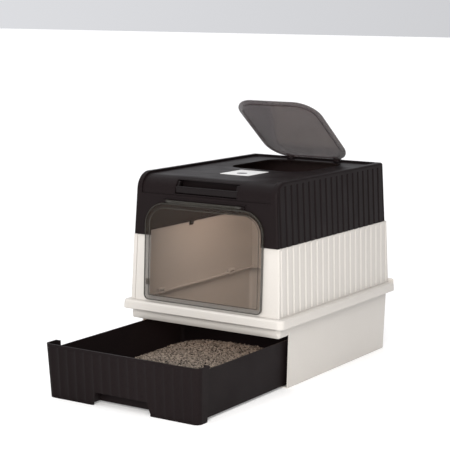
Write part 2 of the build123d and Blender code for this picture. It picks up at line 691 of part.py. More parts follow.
# ---- roof lid ----
def open_lid(shape):
    y, z = LID_AXIS
    return shape.rotate(Axis((0, y, z), (-1, 0, 0)), LID_OPEN_DEG)


def top_lid():
    mid_y, depth = (LID_FRONT_Y + LID_REAR_Y) / 2, LID_REAR_Y - LID_FRONT_Y
    plate = Pos(0, mid_y) * RectangleRounded(2 * LID_HALF_W, depth, LID_CORNER_R)
    body = extrude(Plane.XY.offset(LID_LOW_Z) * plate, LID_T)
    body = fillet(body.edges().group_by(Axis.Z)[-1], LID_EDGE_R)

    ring = RectangleRounded(2 * (LID_HALF_W - LID_FLANGE), depth - 2 * LID_FLANGE,
                            LID_CORNER_R - LID_FLANGE)
    edge = LID_FLANGE + LID_SKIRT_W
    ring -= RectangleRounded(2 * (LID_HALF_W - edge), depth - 2 * edge, LID_CORNER_R - edge)
    body += extrude(Plane.XY.offset(LID_LOW_Z) * (Pos(0, mid_y) * ring), -LID_SKIRT_H)

    y, z = LID_AXIS
    for x in (-LID_ARM_X, LID_ARM_X):
        x0, x1 = x - LID_ARM_W / 2, x + LID_ARM_W / 2
        body += rod_x(y, z, LID_EAR_R, x0, x1)
        body += block(x0, x1, LID_REAR_Y - LID_ARM_IN, y, LID_LOW_Z, LID_ARM_TOP_Z)
        body -= rod_x(y, z, PIN_R + RUN, x0 - OVER, x1 + OVER)
    return open_lid(body)


def lid_pins():
    y, z = LID_AXIS
    reach = LID_ARM_W / 2 + EAR_GAP + LID_EAR_W
    pins = [rod_x(y, z, PIN_R, x - reach, x + reach) for x in (-LID_ARM_X, LID_ARM_X)]
    return Part() + pins


# ---- cover's small pieces ----
def blank_label():
    w, d = LABEL
    shape = Pos(*LABEL_AT) * RectangleRounded(w, d, LABEL_R)
    return extrude(Plane.XY.offset(ROOF_Z) * shape, LABEL_T)


def cover_clips():
    """A tongue under each side of the cover that hooks inside the side panel."""
    low, top = COVER_LOW_Z - CLIP_REACH, COVER_LOW_Z + CLIP_UP
    face = panel_at(SIDE_X, PANEL_TOP_Z) - RIBBED_T - CLIP_GAP
    wall = COVER_LOW[0] - RIBBED_T
    wall_top = between(COVER_LOW[0], COVER_HIGH[0], top, COVER_LOW_Z, COVER_TOP_Z) - RIBBED_T
    tongue = along_y([(face - CLIP_T, low + CLIP_TIP), (face - CLIP_TIP, low), (face, low),
                      (face, COVER_LOW_Z), (wall, COVER_LOW_Z), (wall_top, top),
                      (wall_top - CLIP_T, top), (wall - CLIP_T, COVER_LOW_Z)],
                     CLIP_Y - CLIP_W / 2, CLIP_Y + CLIP_W / 2)
    return Part() + [tongue, mirror(tongue, about=Plane.YZ)]


# ---- drawer ----
def pulled_out(shape):
    return Pos(0, -PULL, 0) * shape


def drawer_front_block(grow_in=0.0, low_z=0.0, top_z=DRAWER_TOP_Z, rear_y=-RETURN_REAR_Y):
    """The wide front section as a filled block, grow_in inside its outer faces."""
    ends = []
    for z in (low_z, top_z):
        half, far = (between(a, b, z, 0, DRAWER_TOP_Z)
                     for a, b in zip(DRAWER_FRONT_LOW, DRAWER_FRONT_HIGH))
        ends.append((half - grow_in, far - grow_in))
    (x0, y0), (x1, y1) = ends
    shape = along_y([(-x0, low_z), (x0, low_z), (x1, top_z), (-x1, top_z)], -FAR, rear_y)
    shape &= along_x([(-y0, low_z), (rear_y, low_z), (rear_y, top_z), (-y1, top_z)], -FAR, FAR)
    middle = (rear_y - y0) / 2
    return fillet(upright(shape, (-FAR, FAR, -FAR, middle)), DRAWER_CORNER_R - grow_in)


def tray_block(by=0.0, low_z=TRAY_LOW_Z, top_z=TRAY_WALL_TOP_Z, front_y=TRAY_FRONT_Y):
    """The narrow part of the tray as a filled block, by inside its outer faces."""
    ends = []
    for z in (low_z, top_z):
        half = between(TRAY_LOW, TRAY_HIGH, z, TRAY_LOW_Z, TRAY_WALL_TOP_Z)
        far = between(TRAY_REAR_LOW_Y, TRAY_REAR_HIGH_Y, z, TRAY_LOW_Z, TRAY_WALL_TOP_Z)
        ends.append((half - by, far - by))
    (x0, y0), (x1, y1) = ends
    shape = along_y([(-x0, low_z), (x0, low_z), (x1, top_z), (-x1, top_z)], front_y, FAR)
    shape &= along_x([(front_y, low_z), (y0, low_z), (y1, top_z), (front_y, top_z)], -FAR, FAR)
    return fillet(upright(shape, (-FAR, FAR, 0, FAR)), DRAWER_CORNER_R - by)


def drawer_grooves():
    """Cutters for the leaning front face."""
    z0, z1 = DRAWER_GROOVE_Z
    y0, y1 = (-between(DRAWER_FRONT_LOW[1], DRAWER_FRONT_HIGH[1], z, 0, DRAWER_TOP_Z)
              for z in (z0, z1))
    return groove_cutters((0, y0, z0), (0, y1, z1), (0, -(z1 - z0), y1 - y0), (1, 0, 0),
                          DRAWER_GROOVES, DRAWER_PITCH, DRAWER_GROOVE)


def notch_outline(grow):
    return [(-NOTCH_HALF_LOW - grow, -OVER), (NOTCH_HALF_LOW + grow, -OVER),
            (NOTCH_HALF_TOP + grow, NOTCH_H + grow), (-NOTCH_HALF_TOP - grow, NOTCH_H + grow)]


def drawer_tray():
    floor_z = TRAY_LOW_Z + TRAY_T
    body = drawer_front_block() - drawer_grooves()
    body += tray_block()
    body -= drawer_front_block(DRAWER_FRONT_T, floor_z, DRAWER_TOP_Z + OVER,
                               -RETURN_REAR_Y - TRAY_T)
    body -= tray_block(TRAY_T, floor_z, DRAWER_TOP_Z + OVER, -RETURN_REAR_Y - TRAY_T - OVER)
    body -= drawer_front_block(DRAWER_FRONT_T, -OVER, TRAY_LOW_Z, -RETURN_REAR_Y + OVER)

    back_y = -DRAWER_FRONT_LOW[1] + NOTCH_DEPTH
    shroud = along_y(notch_outline(TRAY_T), -DRAWER_FRONT_LOW[1] + OVER, back_y + TRAY_T)
    body += shroud & block(-FAR, FAR, -FAR, 0, TRAY_LOW_Z, NOTCH_H + TRAY_T)
    return pulled_out(body - along_y(notch_outline(0), -FAR, back_y))


def litter_bed():
    """Loose granules, level along the drawer and lower towards its left wall."""
    floor_z = TRAY_LOW_Z + TRAY_T
    curve = Spline(*[(x, z) for x, z in LITTER_CURVE])
    left, right = LITTER_CURVE[0], LITTER_CURVE[-1]
    low = Polyline(left, (left[0], floor_z), (right[0], floor_z), right)
    face = Plane(origin=(0, FAR, 0), x_dir=(1, 0, 0), z_dir=(0, -1, 0)) * make_face([curve, low])
    bed = extrude(face, 2 * FAR)
    room = tray_block(TRAY_T + LITTER_GAP, floor_z, TRAY_WALL_TOP_Z,
                      -RETURN_REAR_Y - TRAY_T - OVER)
    room += drawer_front_block(DRAWER_FRONT_T + LITTER_GAP, floor_z, TRAY_WALL_TOP_Z,
                               -RETURN_REAR_Y - TRAY_T - LITTER_GAP)
    back_y = -DRAWER_FRONT_LOW[1] + NOTCH_DEPTH + TRAY_T + LITTER_GAP
    half = NOTCH_HALF_LOW + TRAY_T + 2 * OVER
    room -= block(-half, half, -FAR, back_y, 0, NOTCH_H + TRAY_T + LITTER_GAP)
    return pulled_out(bed & room)


NODES = {
    "base_housing": base_housing,
    "drawer_tray": drawer_tray,
    "litter_bed": litter_bed,
    "left_side_panel": lambda: side_panel(-1),
    "right_side_panel": lambda: side_panel(1),
    "front_panel": front_panel,
    "back_panel": back_panel,
    "side_panel_pins": lambda: hinge_pins("left") + hinge_pins("right"),
    "front_panel_pins": lambda: hinge_pins("front"),
    "back_panel_pins": lambda: hinge_pins("back"),
    "top_cover": top_cover,
    "cover_clips": cover_clips,
    "blank_label": blank_label,
    "door_flap": door_flap,
    "door_pins": door_pins,
    "door_catch": door_catch,
    "top_lid": top_lid,
    "lid_pins": lid_pins,
    "handle_cup": handle_cup,
    "carry_handle": carry_handle,
    "handle_pins": handle_pins,
}

os.makedirs("parts", exist_ok=True)
for name, make in NODES.items():
    export_step(make(), f"parts/{name}.step")
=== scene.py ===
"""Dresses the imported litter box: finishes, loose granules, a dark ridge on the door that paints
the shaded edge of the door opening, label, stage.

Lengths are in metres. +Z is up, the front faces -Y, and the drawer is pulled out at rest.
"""

import math
import random

import bmesh
import bpy
from bpy.props import FloatProperty, FloatVectorProperty, IntProperty
from mathutils import Matrix, Vector
from mathutils.bvhtree import BVHTree


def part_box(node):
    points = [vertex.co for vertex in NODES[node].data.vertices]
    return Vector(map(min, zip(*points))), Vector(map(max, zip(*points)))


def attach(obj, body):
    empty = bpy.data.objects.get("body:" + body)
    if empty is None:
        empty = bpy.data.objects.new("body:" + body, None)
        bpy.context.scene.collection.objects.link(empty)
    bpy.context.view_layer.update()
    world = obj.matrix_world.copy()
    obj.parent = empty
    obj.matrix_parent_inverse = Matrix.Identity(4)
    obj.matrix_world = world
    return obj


bl_info = {
    "name": "Drawer Litter Box",
    "version": (1, 0, 0),
    "blender": (4, 5, 0),
    "location": "View3D > Sidebar > Litter Box",
    "description": "Finishes and loose detail for an enclosed litter box with a drawer",
    "category": "Add Mesh",
}

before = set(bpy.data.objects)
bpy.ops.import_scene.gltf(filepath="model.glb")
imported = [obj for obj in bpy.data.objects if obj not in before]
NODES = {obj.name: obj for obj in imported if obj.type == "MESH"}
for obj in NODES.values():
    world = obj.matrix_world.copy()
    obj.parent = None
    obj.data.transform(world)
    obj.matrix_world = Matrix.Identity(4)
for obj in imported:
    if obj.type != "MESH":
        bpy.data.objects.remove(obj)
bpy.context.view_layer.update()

CREAM_NODES = ("base_housing", "left_side_panel", "right_side_panel", "front_panel", "back_panel")
COVER_NODES = ("top_cover", "handle_cup", "cover_clips")
PIN_NODES = ("side_panel_pins", "front_panel_pins", "back_panel_pins", "door_pins", "lid_pins",
             "handle_pins")
SMOOTH_ANGLE = math.radians(32.0)

# Roughness, grain depth, share that the colour varies by, and specular level.
MOULDED = {
    "cream_plastic": (0.50, 0.00005, 0.012, 0.3),
    "cover_plastic": (0.40, 0.00008, 0.12, 0.052),
    "drawer_plastic": (0.42, 0.00008, 0.12, 0.04),
    "handle_plastic": (0.30, 0.00002, 0.05, 0.12),
    "catch_plastic": (0.50, 0.00005, 0.05, 0.2),
    # the door's thin ridge: its dark colour is painted shade of the door opening's edge seen
    # through the door
    "door_shade_ridge_plastic": (0.20, 0.00002, 0.05, 0.5),
}
ROUGHNESS_DRIFT = 0.05
SMOKE_SPECULAR = 0.35
SMOKE_HAZE = 0.14            # how much rougher the wiping marks are
GRANULE_ROUGHNESS = 0.95
GRANULE_SPECULAR = 0.2

# ---- the camera, fitted to the edges of the box; angles in degrees ----
IMAGE_SIDE_PX = 450
FOCAL_PX = 1437.27
SENSOR_MM = 36.0
CAMERA_AT = (1.73199, -2.82542, 0.82902)
CAMERA_AZIMUTH = 33.08
CAMERA_ELEVATION = 8.82
CAMERA_ROLL = 0.37


# ---- finishes ----
class Finish:
    """One procedural finish on a Principled shader, in object coordinates."""

    def __init__(self, name, colour, roughness, **sockets):
        """Underscores in the names of sockets stand for spaces."""
        self.material = bpy.data.materials.new(name)
        self.material.use_nodes = True
        self.tree = self.material.node_tree
        self.shader = self.tree.nodes["Principled BSDF"]
        self.shader.inputs["Base Color"].default_value = (*colour[:3], 1.0)
        self.shader.inputs["Roughness"].default_value = roughness
        for socket, value in sockets.items():
            self.shader.inputs[socket.replace("_", " ")].default_value = value
        self.place = self.add("ShaderNodeTexCoord").outputs["Object"]
        self.normal = None

    def add(self, kind, **settings):
        node = self.tree.nodes.new(kind)
        for key, value in settings.items():
            setattr(node, key, value)
        return node

    def link(self, source, socket):
        self.tree.links.new(source, socket)

    def stretched(self, scale):
        """Object coordinates scaled by a different amount along each axis."""
        node = self.add("ShaderNodeMapping")
        node.inputs["Scale"].default_value = scale
        self.link(self.place, node.inputs["Vector"])
        return node.outputs["Vector"]

    def noise(self, scale, detail=3.0, place=None, distortion=0.0):
        node = self.add("ShaderNodeTexNoise")
        node.inputs["Scale"].default_value = scale
        node.inputs["Detail"].default_value = detail
        node.inputs["Distortion"].default_value = distortion
        self.link(place or self.place, node.inputs["Vector"])
        return node.outputs["Fac"]

    def cells(self, scale, output="Distance"):
        node = self.add("ShaderNodeTexVoronoi")
        node.inputs["Scale"].default_value = scale
        self.link(self.place, node.inputs["Vector"])
        return node.outputs[output]

    def range(self, source, low, high, to_low=0.0, to_high=1.0):
        node = self.add("ShaderNodeMapRange")
        node.inputs["From Min"].default_value = low
        node.inputs["From Max"].default_value = high
        node.inputs["To Min"].default_value = to_low
        node.inputs["To Max"].default_value = to_high
        self.link(source, node.inputs["Value"])
        return node.outputs["Result"]

    def blend(self, share, first, second):
        """A colour that runs from first to second with share."""
        node = self.add("ShaderNodeMix", data_type="RGBA")
        for socket, value in (("A", first), ("B", second)):
            target = [s for s in node.inputs if s.name == socket and s.type == "RGBA"][0]
            if isinstance(value, tuple):
                target.default_value = (*value[:3], 1.0)
            else:
                self.link(value, target)
        factor = [s for s in node.inputs if s.name == "Factor" and s.type == "VALUE"][0]
        self.link(share, factor)
        return [s for s in node.outputs if s.type == "RGBA"][0]

    def colour_from(self, source):
        self.link(source, self.shader.inputs["Base Color"])

    def roughness_from(self, source):
        self.link(source, self.shader.inputs["Roughness"])

    def bump(self, source, depth, strength=1.0):
        """Adds relief of depth metres on top of what is there."""
        node = self.add("ShaderNodeBump")
        node.inputs["Strength"].default_value = strength
        node.inputs["Distance"].default_value = depth
        self.link(source, node.inputs["Height"])
        if self.normal is not None:
            self.link(self.normal, node.inputs["Normal"])
        self.normal = node.outputs["Normal"]
        self.link(self.normal, self.shader.inputs["Normal"])


def shade(colour, factor):
    """A colour made brighter or darker, never past white."""
    return tuple(min(1.0, c * factor) for c in colour[:3])


def moulded(name, colour):
    """Injection-moulded plastic: fine spark-eroded grain, slow colour drift, worn shiny spots."""
    roughness, grain_depth, variation, specular = MOULDED[name]
    finish = Finish(name, colour, roughness, Specular_IOR_Level=specular)
    drift = finish.range(finish.noise(scale=4.0, detail=4.0), 0.35, 0.65)
    toned = finish.blend(drift, shade(colour, 1 - variation), shade(colour, 1 + variation))
    speckle = finish.range(finish.noise(scale=260.0, detail=3.0), 0.45, 0.75)
    finish.colour_from(finish.blend(speckle, toned, shade(colour, 1 - 1.5 * variation)))
    worn = finish.range(finish.noise(scale=17.0, detail=5.0), 0.35, 0.7,
                        roughness + ROUGHNESS_DRIFT, roughness - ROUGHNESS_DRIFT)
    finish.roughness_from(worn)
    finish.bump(finish.noise(scale=9.0, detail=2.0), depth=0.0004, strength=0.3)
    finish.bump(finish.noise(scale=1500.0, detail=2.0), depth=grain_depth, strength=0.5)
    return finish.material


def smoke(name, colour, alpha, roughness):
    """Clear smoke-tinted plastic: see-through, glossy, with a faint haze of wiping marks."""
    finish = Finish(name, colour, roughness, Alpha=alpha, Specular_IOR_Level=SMOKE_SPECULAR)
    haze = finish.noise(scale=26.0, detail=6.0, place=finish.stretched((1.0, 1.0, 3.0)),
                        distortion=1.2)
    finish.roughness_from(finish.range(haze, 0.35, 0.75, roughness, roughness + SMOKE_HAZE))
    clouds = finish.range(haze, 0.4, 0.8)
    finish.colour_from(finish.blend(clouds, shade(colour, 0.92), shade(colour, 1.15)))
    finish.bump(finish.noise(scale=7.0, detail=1.0), depth=0.0007, strength=0.25)
    return finish.material


def granular(name, light, dark):
    """Clay granules seen from above: cells of differing greys with deep gaps."""
    finish = Finish(name, light, GRANULE_ROUGHNESS, Specular_IOR_Level=GRANULE_SPECULAR)
    cell_scale = 240.0
    split = finish.add("ShaderNodeSeparateColor")
    finish.link(finish.cells(cell_scale, "Color"), split.inputs["Color"])
    speck = finish.range(split.outputs["Red"], 0.1, 0.95)
    finish.colour_from(finish.blend(speck, dark, light))
    finish.bump(finish.cells(cell_scale), depth=0.0022, strength=0.9)
    return finish.material


def steel(name):
    """Bright drawn wire with fine lines along it."""
    finish = Finish(name, (0.62, 0.62, 0.63), 0.28, Metallic=1.0)
    lines = finish.noise(scale=900.0, detail=3.0, place=finish.stretched((0.04, 1.0, 1.0)))
    finish.roughness_from(finish.range(lines, 0.3, 0.7, 0.2, 0.38))
    finish.bump(lines, depth=0.00005, strength=0.6)
    return finish.material


def printed(name, colour, roughness, dark, light, scale):
    """Flat paper or ink whose tone drifts a little between dark and light."""
    finish = Finish(name, colour, roughness)
    finish.colour_from(finish.blend(finish.noise(scale=scale, detail=4.0), dark, light))
    return finish


def dress(names, material):
    """Gives one finish to CAD nodes, with smooth shading across gentle edges."""
    for name in names:
        node = NODES[name]
        for slot in node.material_slots:
            slot.material = material
        if not node.material_slots:
            node.data.materials.append(material)
        node.data.shade_smooth()
        node.data.set_sharp_from_angle(angle=SMOOTH_ANGLE)


# ---- settings ----
class ShellSettings(bpy.types.PropertyGroup):
    """Colours of the moulded pieces."""

    cream: FloatVectorProperty(
        name="Cream", description="Colour of the base and the wall panels",
        subtype="COLOR", min=0.0, max=1.0, default=(0.574, 0.548, 0.515))
    black: FloatVectorProperty(
        name="Black", description="Colour of the cover and the drawer",
        subtype="COLOR", min=0.0, max=1.0, default=(0.0110, 0.0078, 0.0082))
    door_tint: FloatVectorProperty(
        name="Door tint", description="Colour of the see-through door",
        subtype="COLOR", min=0.0, max=1.0, default=(0.032, 0.022, 0.015))
    lid_tint: FloatVectorProperty(
        name="Lid tint", description="Colour of the see-through roof lid",
        subtype="COLOR", min=0.0, max=1.0, default=(0.062, 0.045, 0.048))
    door_alpha: FloatProperty(
        name="Door density", description="How much each face of the door hides",
        subtype="FACTOR", min=0.0, max=1.0, default=0.29)
    lid_alpha: FloatProperty(
        name="Lid density", description="How much each face of the roof lid hides",
        subtype="FACTOR", min=0.0, max=1.0, default=0.74)


class LitterSettings(bpy.types.PropertyGroup):
    """Size and number of the loose granules."""

    count: IntProperty(
        name="Granules", description="How many loose granules lie on the bed",
        min=0, max=40000, default=15000)
    size: FloatProperty(
        name="Granule size", description="Mean length of a granule",
        unit="LENGTH", min=0.001, max=0.02, default=0.0048)
    seed: IntProperty(
        name="Seed", description="Start of the random order", min=0, default=7)


class StageSettings(bpy.types.PropertyGroup):
    """Strength and colour of the light."""

    key_power: FloatProperty(
        name="Key light", description="Power of the large light at the front",
        unit="POWER", min=0.0, default=85.0)
    side_power: FloatProperty(
        name="Side light", description="Power of the small light near the right front corner",
        unit="POWER", min=0.0, default=2.6)
    cabin_power: FloatProperty(
        name="Cabin light", description="Power of the small light inside the cabin",
        unit="POWER", min=0.0, default=0.85)
    top_strength: FloatProperty(
        name="Top light", description="Strength of the wide light overhead", min=0.0, default=1.6)
    surround_left: FloatVectorProperty(
        name="Surround left", description="Light that comes from the far left",
        subtype="COLOR", min=0.0, max=2.0, default=(0.84, 0.85, 0.88))
    surround_right: FloatVectorProperty(
        name="Surround right", description="Light that comes from the far right",
        subtype="COLOR", min=0.0, max=2.0, default=(0.12, 0.11, 0.11))


# ---- pieces ----
def new_mesh_piece(name, mesh_maker, body, material):
    """A mesh object that rides on a body, from a bmesh filled in by mesh_maker."""
    mesh = bpy.data.meshes.new(name)
    bm = bmesh.new()
    mesh_maker(bm)
    bm.to_mesh(mesh)
    bm.free()
    piece = bpy.data.objects.new(name, mesh)
    bpy.context.scene.collection.objects.link(piece)
    mesh.materials.append(material)
    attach(piece, body)
    return piece


class LITTERBOX_OT_walls(bpy.types.Operator):
    """Finish the cream base and the four wall panels"""

    bl_idname = "litterbox.walls"
    bl_label = "Base and Walls"

    def execute(self, context):
        settings = context.scene.litterbox_shell
        dress(CREAM_NODES, moulded("cream_plastic", tuple(settings.cream)))
        return {"FINISHED"}


class LITTERBOX_OT_cover(bpy.types.Operator):
    """Finish the black cover with its handle cup and clips, and the door's catch"""

    bl_idname = "litterbox.cover"
    bl_label = "Cover"

    CATCH_COLOUR = (0.20, 0.18, 0.155)

    def execute(self, context):
        settings = context.scene.litterbox_shell
        dress(COVER_NODES, moulded("cover_plastic", tuple(settings.black)))
        dress(("door_catch",), moulded("catch_plastic", self.CATCH_COLOUR))
        return {"FINISHED"}


class LITTERBOX_OT_drawer(bpy.types.Operator):
    """Finish the black drawer"""

    bl_idname = "litterbox.drawer"
    bl_label = "Drawer"

    TONE = 0.95

    def execute(self, context):
        settings = context.scene.litterbox_shell
        dress(("drawer_tray",), moulded("drawer_plastic", shade(settings.black, self.TONE)))
        return {"FINISHED"}


class LITTERBOX_OT_handle(bpy.types.Operator):
    """Finish the glossy carry handle"""

    bl_idname = "litterbox.handle"
    bl_label = "Carry Handle"

    TONE = 0.7

    def execute(self, context):
        settings = context.scene.litterbox_shell
        dress(("carry_handle",), moulded("handle_plastic", shade(settings.black, self.TONE)))
        return {"FINISHED"}


class LITTERBOX_OT_windows(bpy.types.Operator):
    """Finish the smoke-tinted door and roof lid, and raise a dark ridge on the door as painted
    shade of the opening's edge
    """

    bl_idname = "litterbox.windows"
    bl_label = "Door and Roof Lid"

    # The door's back plane: the middle of its lower and of its upper edge.
    LOW = Vector((0.0, -0.2586, 0.166))
    TOP = Vector((0.0, -0.2509, 0.388))
    HALF_W = 0.1555
    THICK = 0.0024
    TOP_R = 0.052
    LOW_R = 0.013
    BEAD_W = 0.0027
    BACK_FACING = -0.5           # faces turned further back than this keep the door's finish
    RIDGE_IN = 0.0115            # from the door's outline to the ridge
    RIDGE_R = 0.0008
    RIDGE_TIGHTEST = 4 * RIDGE_R    # the ridge bends no tighter at its corners
    RIDGE_SIDES = 8
    CORNER_STEPS = 12
    DOOR_ROUGHNESS = 0.06
    LID_ROUGHNESS = 0.10
    EDGE = ((0.030, 0.027, 0.021), 0.72, 0.12)    # colour, density and roughness
    # dark colour of the ridge: painted shade, the shaded edge of the door opening seen through
    # the door
    RIDGE_SHADE_COLOUR = (0.040, 0.036, 0.028)

    def execute(self, context):
        settings = context.scene.litterbox_shell
        door = smoke("door_smoke", tuple(settings.door_tint), settings.door_alpha,
                     self.DOOR_ROUGHNESS)
        lid = smoke("lid_smoke", tuple(settings.lid_tint), settings.lid_alpha,
                    self.LID_ROUGHNESS)
        dress(("door_flap",), door)
        dress(("top_lid",), lid)
        self.mark_bead(smoke("door_edge_smoke", *self.EDGE))
        # the ridge's dark finish is painted shade for the edge of the door opening
        ridge = moulded("door_shade_ridge_plastic", self.RIDGE_SHADE_COLOUR)
        new_mesh_piece("door_shade_ridge", self.ridge, "door", ridge)
        return {"FINISHED"}

    def axes(self):
        """The door's way up, its way out of the box and its height."""
        up = self.TOP - self.LOW
        return up.normalized(), Vector((1.0, 0.0, 0.0)).cross(up).normalized(), up.length

    def depth(self, across, rise, height):
        """How far a point lies inside the door's outline."""
        radius = self.TOP_R if rise > height / 2 else self.LOW_R
        side = abs(across) - (self.HALF_W - radius)
        end = abs(rise - height / 2) - (height / 2 - radius)
        if side > 0 and end > 0:
            return radius - math.hypot(side, end)
        return radius - max(side, end)

    def mark_bead(self, material):
        """Gives the raised bead round the door and the hinge barrel their own finish."""
        up, out, height = self.axes()
        door = NODES["door_flap"]
        door.data.materials.append(material)
        index = len(door.data.materials) - 1
        turn = door.matrix_world
        for face in door.data.polygons:
            offset = turn @ face.center - self.LOW
            facing = (turn.to_3x3() @ face.normal).dot(out)
            inside = self.depth(offset.x, offset.dot(up), height)
            if facing > self.BACK_FACING and inside < self.BEAD_W:
                face.material_index = index

    def ridge_path(self, height):
        """The line of the thin ridge inside the bead: place and way outwards at each point."""
        path = []
        corners = ((1, True), (-1, True), (-1, False), (1, False))
        for quarter, (side, at_top) in enumerate(corners):
            radius = (self.TOP_R if at_top else self.LOW_R) - self.RIDGE_IN
            radius = max(radius, self.RIDGE_TIGHTEST)
            x = side * (self.HALF_W - self.RIDGE_IN - radius)
            rise = height - self.RIDGE_IN - radius if at_top else self.RIDGE_IN + radius
            for step in range(self.CORNER_STEPS + 1):
                angle = math.pi / 2 * (quarter + step / self.CORNER_STEPS)
                way = (math.cos(angle), math.sin(angle))
                path.append(((x + radius * way[0], rise + radius * way[1]), way))
        return path

    def ridge(self, bm):
        """A thin half-sunk ridge on the door's front face, whose dark finish paints the shaded
        edge of the door opening.
        """
        up, out, height = self.axes()
        rings = []
        for (across, rise), way in self.ridge_path(height):
            centre = self.LOW + Vector((across, 0.0, 0.0)) + up * rise + out * self.THICK
            sideways = Vector((way[0], 0.0, 0.0)) + up * way[1]
            ring = []
            for i in range(self.RIDGE_SIDES):
                angle = math.tau * i / self.RIDGE_SIDES
                offset = sideways * math.cos(angle) + out * math.sin(angle)
                ring.append(bm.verts.new(centre + offset * self.RIDGE_R))
            rings.append(ring)
        for i, ring in enumerate(rings):
            after = rings[(i + 1) % len(rings)]
            for j in range(self.RIDGE_SIDES):
                k = (j + 1) % self.RIDGE_SIDES
                bm.faces.new((ring[j], after[j], after[k], ring[k])).smooth = True


class LITTERBOX_OT_pins(bpy.types.Operator):
    """Finish the steel hinge pins"""

    bl_idname = "litterbox.pins"
    bl_label = "Hinge Pins"

    def execute(self, context):
        dress(PIN_NODES, steel("pin_steel"))
        return {"FINISHED"}


class LITTERBOX_OT_litter(bpy.types.Operator):
    """Scatter loose granules over the litter bed"""

    bl_idname = "litterbox.litter"
    bl_label = "Litter"

    LIGHT = (0.285, 0.240, 0.200)
    DARK = (0.014, 0.011, 0.010)
    TONES = (1.0, 0.7, 0.45, 0.2, 0.0)    # how far from DARK to LIGHT each kind of granule is
    TONE_WEIGHTS = (30, 26, 20, 14, 10)
    SHAPES = 8
    DROP = 0.01                  # height above the bed that granules are dropped from
    STEEPEST = 0.5               # no granule lies where the bed's normal rises less than this
    WIDTHS = (0.6, 0.95)         # least and most, for a granule one unit long
    HEIGHTS = (0.5, 0.85)
    LUMPS = (0.8, 1.15)
    LENGTHS = (0.55, 1.35)
    TILTS = (-0.7, 0.7)
    LIFTS = (-0.12, 0.22)

    def execute(self, context):
        settings = context.scene.litterbox_litter
        dress(("litter_bed",), granular("litter_granules", self.LIGHT, self.DARK))
        low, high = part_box("litter_bed")
        depsgraph = bpy.context.evaluated_depsgraph_get()
        tree = BVHTree.FromObject(NODES["litter_bed"], depsgraph)
        rng = random.Random(settings.seed)

        def fill(bm):
            shapes = [self.granule_shape(rng) for _ in range(self.SHAPES)]
            for _ in range(settings.count):
                x = rng.uniform(low.x, high.x)
                y = rng.uniform(low.y, high.y)
                start = Vector((x, y, high.z + self.DROP))
                hit, normal, _, _ = tree.ray_cast(start, (0, 0, -1))
                if hit is None or normal.z < self.STEEPEST:
                    continue
                self.add_granule(bm, rng, hit, settings.size, rng.choice(shapes))

        tones = [self.tone(index, share) for index, share in enumerate(self.TONES)]
        piece = new_mesh_piece("loose_granules", fill, "drawer", tones[0])
        for material in tones[1:]:
            piece.data.materials.append(material)
        return {"FINISHED"}

    def tone(self, index, share):
        """One of the greys that single granules have."""
        colour = tuple(dark + (light - dark) * share
                       for light, dark in zip(self.LIGHT, self.DARK))
        finish = Finish(f"granule_{index}", colour, GRANULE_ROUGHNESS,
                        Specular_IOR_Level=GRANULE_SPECULAR)
        finish.colour_from(finish.blend(finish.noise(scale=700.0, detail=4.0),
                                        shade(colour, 0.72), shade(colour, 1.25)))
        finish.bump(finish.noise(scale=1800.0, detail=3.0), depth=0.0003, strength=0.8)
        return finish.material

    def granule_shape(self, rng):
        """Corner places of a lumpy grain one unit long, on an icosahedron."""
        bm = bmesh.new()
        bmesh.ops.create_icosphere(bm, subdivisions=1, radius=0.5)
        stretch = Vector((1.0, rng.uniform(*self.WIDTHS), rng.uniform(*self.HEIGHTS)))
        corners = [v.co * rng.uniform(*self.LUMPS) * stretch for v in bm.verts]
        faces = [[v.index for v in f.verts] for f in bm.faces]
        bm.free()
        return corners, faces

    def add_granule(self, bm, rng, at, size, shape):
        """One granule at its own length, turn, tilt, height and tone."""
        corners, faces = shape
        length = size * rng.uniform(*self.LENGTHS)
        turn = Matrix.Rotation(rng.uniform(0, math.tau), 3, "Z")
        turn @= Matrix.Rotation(rng.uniform(*self.TILTS), 3, "X")
        lift = Vector((0, 0, length * rng.uniform(*self.LIFTS)))
        verts = [bm.verts.new(at + lift + turn @ (c * length)) for c in corners]
        tone = rng.choices(range(len(self.TONES)), self.TONE_WEIGHTS)[0]
        for face in faces:
            made = bm.faces.new([verts[i] for i in face])
            made.material_index = tone
            made.smooth = False


class LITTERBOX_OT_label(bpy.types.Operator):
    """Finish the bare label and lay its plain oval"""

    bl_idname = "litterbox.label"
    bl_label = "Label"

    OVAL_AT = (0.003, -0.102)
    OVAL_HALF = (0.0125, 0.012)
    STEPS = 48
    RINGS = ((1.0, 0.0), (1.0, 0.00012), (0.97, 0.000192))    # scale and height of each ring

    def execute(self, context):
        paper = printed("label_paper", (0.80, 0.80, 0.79), 0.45, dark=(0.76, 0.76, 0.75),
                        light=(0.84, 0.84, 0.83), scale=60.0)
        paper.bump(paper.noise(scale=900.0, detail=4.0), depth=0.00004, strength=0.6)
        dress(("blank_label",), paper.material)
        ink = printed("label_ink", (0.10, 0.10, 0.105), 0.5, dark=(0.08, 0.08, 0.085),
                      light=(0.13, 0.13, 0.135), scale=500.0)
        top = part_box("blank_label")[1].z

        def fill(bm):
            rings = []
            for scale, height in self.RINGS:
                ring = []
                for i in range(self.STEPS):
                    angle = math.tau * i / self.STEPS
                    x = self.OVAL_AT[0] + self.OVAL_HALF[0] * scale * math.cos(angle)
                    y = self.OVAL_AT[1] + self.OVAL_HALF[1] * scale * math.sin(angle)
                    ring.append(bm.verts.new((x, y, top + height)))
                rings.append(ring)
            for lower, upper in zip(rings, rings[1:]):
                for i in range(self.STEPS):
                    j = (i + 1) % self.STEPS
                    bm.faces.new((lower[i], lower[j], upper[j], upper[i]))
            bm.faces.new(rings[-1])
            bm.faces.new(list(reversed(rings[0])))

        new_mesh_piece("label_oval", fill, "cover", ink.material)
        return {"FINISHED"}


